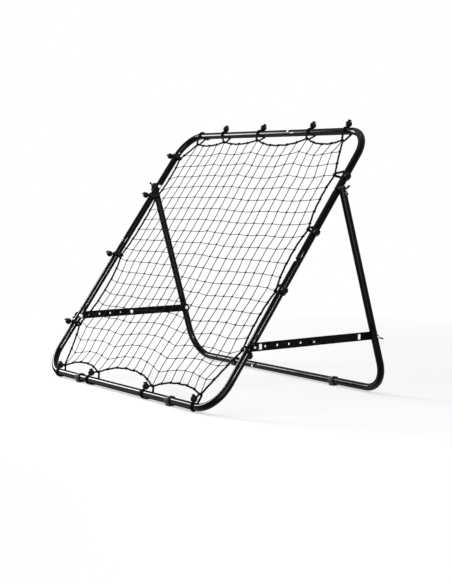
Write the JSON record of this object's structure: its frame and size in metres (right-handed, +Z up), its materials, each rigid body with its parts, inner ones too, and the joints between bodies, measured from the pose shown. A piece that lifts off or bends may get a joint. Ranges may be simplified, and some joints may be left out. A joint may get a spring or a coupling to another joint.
{
  "type": "soccer rebounder",
  "caption": "Tilted square tube frame with a roped practice net on ball ties, held up by a hinged U-shaped leg frame and drilled side struts with wing nuts.",
  "frame": {"origin": "on the floor, midway between the front bar and the rear bar and midway across", "axes": "+X to the right as seen from the net's face, along the bars; +Y backwards, away from the player; +Z up"},
  "size_m": [1.076, 0.6532, 0.8365],
  "materials": {
    "tube_black": "gloss black powder coat",
    "strut_black": "satin black paint",
    "foot_plastic": "matt dark grey moulded plastic",
    "cap_plastic": "satin black moulded plastic",
    "zinc_bolt": "bright zinc plate",
    "zinc_button": "bright zinc plate",
    "wing_nut_dark": "dark zinc plate",
    "net_twine": "braided polyester twine",
    "rope_braid": "twisted black rope",
    "tie_elastic": "covered elastic cord with a black plastic ball"
  },
  "bodies": {
    "front_frame": {"front_lower_left_tube": "tube_black", "front_lower_right_tube": "tube_black", "front_side_left_tube": "tube_black", "front_side_right_tube": "tube_black", "front_upper_left_tube": "tube_black", "front_upper_right_tube": "tube_black", "bolt_pivot_left": "zinc_bolt", "bolt_pivot_right": "zinc_bolt", "bolt_front_left": "zinc_bolt", "bolt_front_right": "zinc_bolt", "foot_clip_front_left": "foot_plastic", "foot_clip_front_right": "foot_plastic", "net": "net_twine", "border_rope": "rope_braid", "tie_top_1": "tie_elastic", "tie_top_2": "tie_elastic", "tie_top_3": "tie_elastic", "tie_top_4": "tie_elastic", "tie_top_5": "tie_elastic", "tie_right_1": "tie_elastic", "tie_right_2": "tie_elastic", "tie_right_3": "tie_elastic", "tie_right_4": "tie_elastic", "tie_bottom_1": "tie_elastic", "tie_bottom_2": "tie_elastic", "tie_bottom_3": "tie_elastic", "tie_bottom_4": "tie_elastic", "tie_left_1": "tie_elastic", "tie_left_2": "tie_elastic", "tie_left_3": "tie_elastic", "tie_left_4": "tie_elastic"},
    "leg_frame": {"rear_lower_left_tube": "tube_black", "rear_lower_right_tube": "tube_black", "leg_left_tube": "tube_black", "leg_right_tube": "tube_black", "leg_left_cap": "cap_plastic", "leg_right_cap": "cap_plastic", "bolt_rear_left": "zinc_bolt", "bolt_rear_right": "zinc_bolt", "foot_clip_rear_left": "foot_plastic", "foot_clip_rear_right": "foot_plastic"},
    "front_strut_left": {"strut_front_left": "strut_black"},
    "rear_strut_left": {"strut_rear_left": "strut_black", "bolt_middle_left": "zinc_bolt"},
    "front_strut_right": {"strut_front_right": "strut_black"},
    "rear_strut_right": {"strut_rear_right": "strut_black", "bolt_middle_right": "zinc_bolt"},
    "snap_button_top": {"button_top": "zinc_button"},
    "snap_button_bottom": {"button_bottom": "zinc_button"},
    "snap_button_side_left": {"button_side_left": "zinc_button"},
    "snap_button_side_right": {"button_side_right": "zinc_button"},
    "snap_button_rear": {"button_rear": "zinc_button"},
    "nut_pivot_left": {"wing_nut_pivot_left": "wing_nut_dark"},
    "nut_front_left": {"wing_nut_front_left": "wing_nut_dark"},
    "nut_middle_left": {"wing_nut_middle_left": "wing_nut_dark"},
    "nut_rear_left": {"wing_nut_rear_left": "wing_nut_dark"},
    "nut_pivot_right": {"wing_nut_pivot_right": "wing_nut_dark"},
    "nut_front_right": {"wing_nut_front_right": "wing_nut_dark"},
    "nut_middle_right": {"wing_nut_middle_right": "wing_nut_dark"},
    "nut_rear_right": {"wing_nut_rear_right": "wing_nut_dark"}
  },
  "joints": [
    {"name": "leg_fold", "type": "hinge", "parent": "front_frame", "child": "leg_frame", "pos_m": [0, 0.13513, 0.62711], "axis": [-1, 0, 0], "range_deg": [0, 21.79]},
    {"name": "front_strut_turn_left", "type": "hinge", "parent": "front_frame", "child": "front_strut_left", "pos_m": [-0.5013, -0.18637, 0.18687], "axis": [-1, 0, 0], "range_deg": [0, 3.29]},
    {"name": "rear_strut_turn_left", "type": "hinge", "parent": "leg_frame", "child": "rear_strut_left", "pos_m": [-0.499, 0.262, 0.18687], "axis": [-1, 0, 0], "range_deg": [-18.59, 0]},
    {"name": "front_strut_turn_right", "type": "hinge", "parent": "front_frame", "child": "front_strut_right", "pos_m": [0.5013, -0.18637, 0.18687], "axis": [-1, 0, 0], "range_deg": [0, 3.29]},
    {"name": "rear_strut_turn_right", "type": "hinge", "parent": "leg_frame", "child": "rear_strut_right", "pos_m": [0.499, 0.262, 0.18687], "axis": [-1, 0, 0], "range_deg": [-18.59, 0]},
    {"name": "button_press_top", "type": "slide", "parent": "front_frame", "child": "snap_button_top", "axis": [0, 0.8076, -0.5898], "range_m": [0, 0.0042], "stiffness_N_per_m": 1500, "springref_m": -0.002},
    {"name": "button_press_bottom", "type": "slide", "parent": "front_frame", "child": "snap_button_bottom", "axis": [0, -0.8076, 0.5898], "range_m": [0, 0.0042], "stiffness_N_per_m": 1500, "springref_m": -0.002},
    {"name": "button_press_side_left", "type": "slide", "parent": "front_frame", "child": "snap_button_side_left", "axis": [0, -0.8076, 0.5898], "range_m": [0, 0.0042], "stiffness_N_per_m": 1500, "springref_m": -0.002},
    {"name": "button_press_side_right", "type": "slide", "parent": "front_frame", "child": "snap_button_side_right", "axis": [0, 0.8076, -0.5898], "range_m": [0, 0.0042], "stiffness_N_per_m": 1500, "springref_m": -0.002},
    {"name": "button_press_rear", "type": "slide", "parent": "leg_frame", "child": "snap_button_rear", "axis": [0, 0.9609, 0.2769], "range_m": [0, 0.0042], "stiffness_N_per_m": 1500, "springref_m": -0.002},
    {"name": "nut_turn_pivot_left", "type": "hinge", "parent": "front_frame", "child": "nut_pivot_left", "pos_m": [-0.5266, 0.13513, 0.62711], "axis": [-1, 0, 0], "continuous": true},
    {"name": "nut_turn_front_left", "type": "hinge", "parent": "front_frame", "child": "nut_front_left", "pos_m": [-0.5066, -0.18637, 0.18687], "axis": [-1, 0, 0], "continuous": true},
    {"name": "nut_turn_middle_left", "type": "hinge", "parent": "rear_strut_left", "child": "nut_middle_left", "pos_m": [-0.5066, 0.02863, 0.18687], "axis": [-1, 0, 0], "continuous": true},
    {"name": "nut_turn_rear_left", "type": "hinge", "parent": "leg_frame", "child": "nut_rear_left", "pos_m": [-0.5266, 0.262, 0.18687], "axis": [-1, 0, 0], "continuous": true},
    {"name": "nut_turn_pivot_right", "type": "hinge", "parent": "front_frame", "child": "nut_pivot_right", "pos_m": [0.5266, 0.13513, 0.62711], "axis": [1, 0, 0], "continuous": true},
    {"name": "nut_turn_front_right", "type": "hinge", "parent": "front_frame", "child": "nut_front_right", "pos_m": [0.5066, -0.18637, 0.18687], "axis": [1, 0, 0], "continuous": true},
    {"name": "nut_turn_middle_right", "type": "hinge", "parent": "rear_strut_right", "child": "nut_middle_right", "pos_m": [0.5066, 0.02863, 0.18687], "axis": [1, 0, 0], "continuous": true},
    {"name": "nut_turn_rear_right", "type": "hinge", "parent": "leg_frame", "child": "nut_rear_right", "pos_m": [0.5266, 0.262, 0.18687], "axis": [1, 0, 0], "continuous": true}
  ],
  "couplings": [
    {"joint": "front_strut_turn_left", "follows": "leg_fold", "ratio": 0.14895},
    {"joint": "rear_strut_turn_left", "follows": "leg_fold", "ratio": -0.85105},
    {"joint": "front_strut_turn_right", "follows": "leg_fold", "ratio": 0.14895},
    {"joint": "rear_strut_turn_right", "follows": "leg_fold", "ratio": -0.85105}
  ]
}
